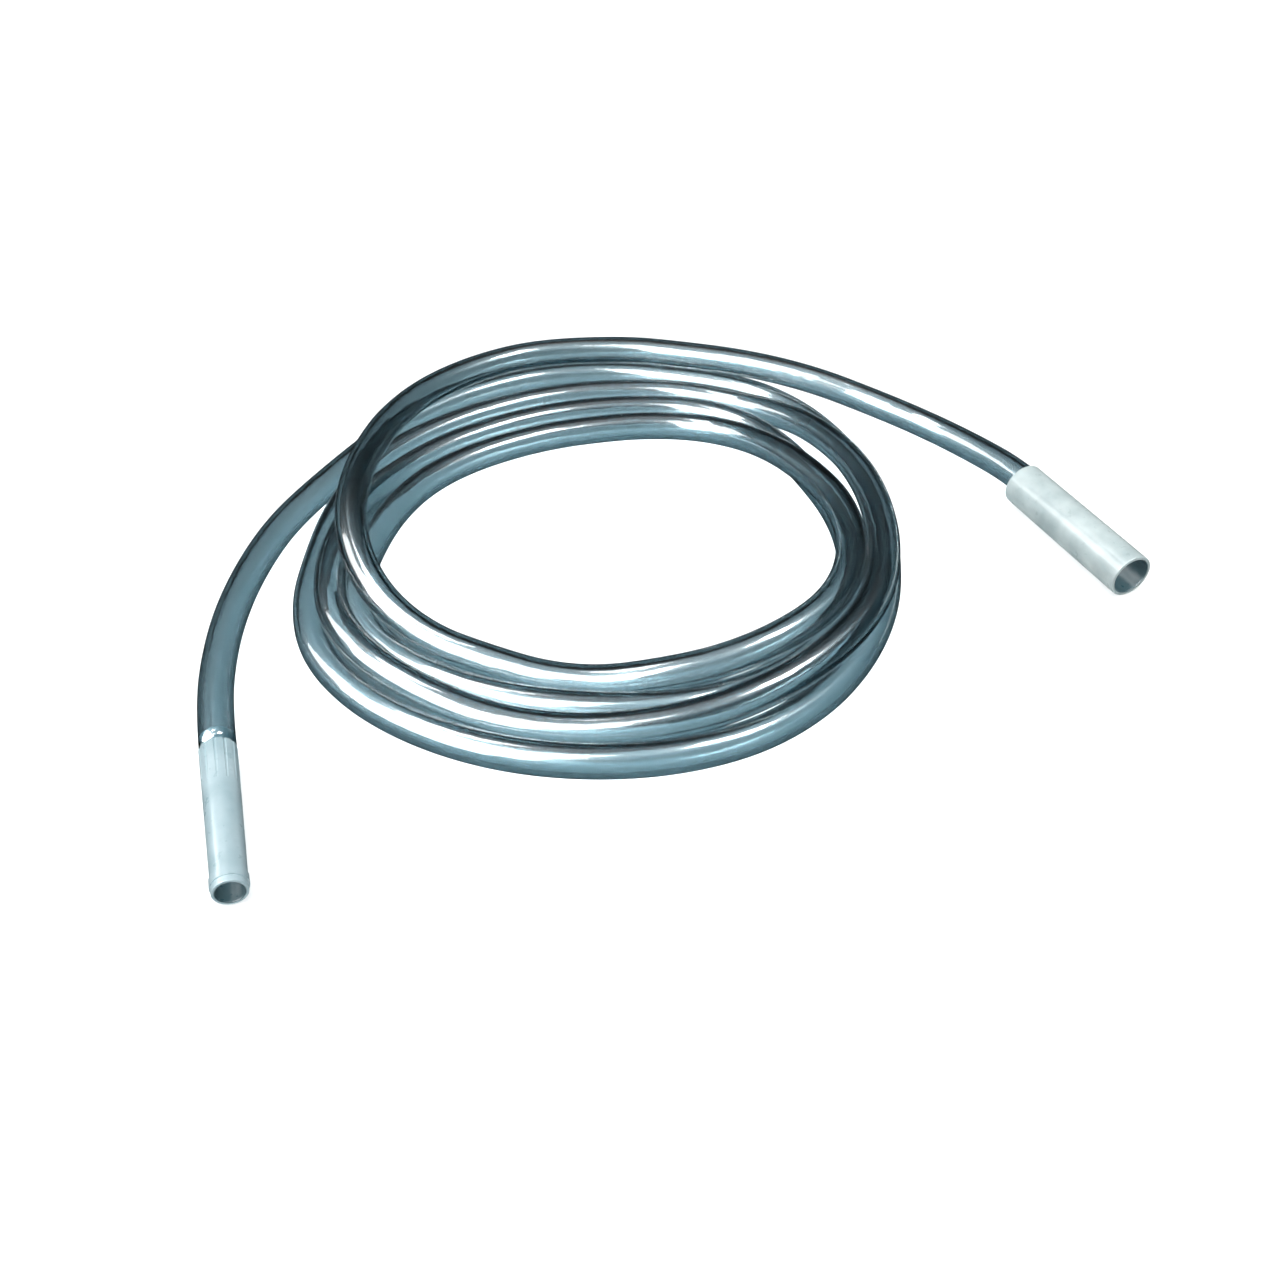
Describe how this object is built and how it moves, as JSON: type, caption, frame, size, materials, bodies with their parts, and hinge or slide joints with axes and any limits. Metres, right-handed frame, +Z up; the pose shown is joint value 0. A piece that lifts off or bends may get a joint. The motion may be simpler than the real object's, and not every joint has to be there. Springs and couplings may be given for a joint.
{
  "type": "coiled transfer hose with moulded end connectors",
  "caption": "Length of clear flexible hose loosely coiled flat, with a wide moulded push-on sleeve on one end and a slim tapering sleeve on the other.",
  "frame": {"origin": "on the plane the hose lies on, under the middle of the whole object", "axes": "+X from the small connector's side to the large connector's side, +Y from the two connectors' mouths towards the back of the coil, +Z up from the lying plane"},
  "size_m": [0.2759, 0.2472, 0.025],
  "materials": {
    "clear_vinyl": "clear flexible vinyl with a faint blue-green tint, glossy with slight waviness",
    "soft_white_plastic": "translucent milky pale blue-white moulded plastic, satin gloss"
  },
  "bodies": {
    "root": {"hose_coil": "clear_vinyl", "hose_large_end": "clear_vinyl", "hose_small_end": "clear_vinyl", "large_connector": "soft_white_plastic", "small_connector": "soft_white_plastic"}
  },
  "joints": []
}
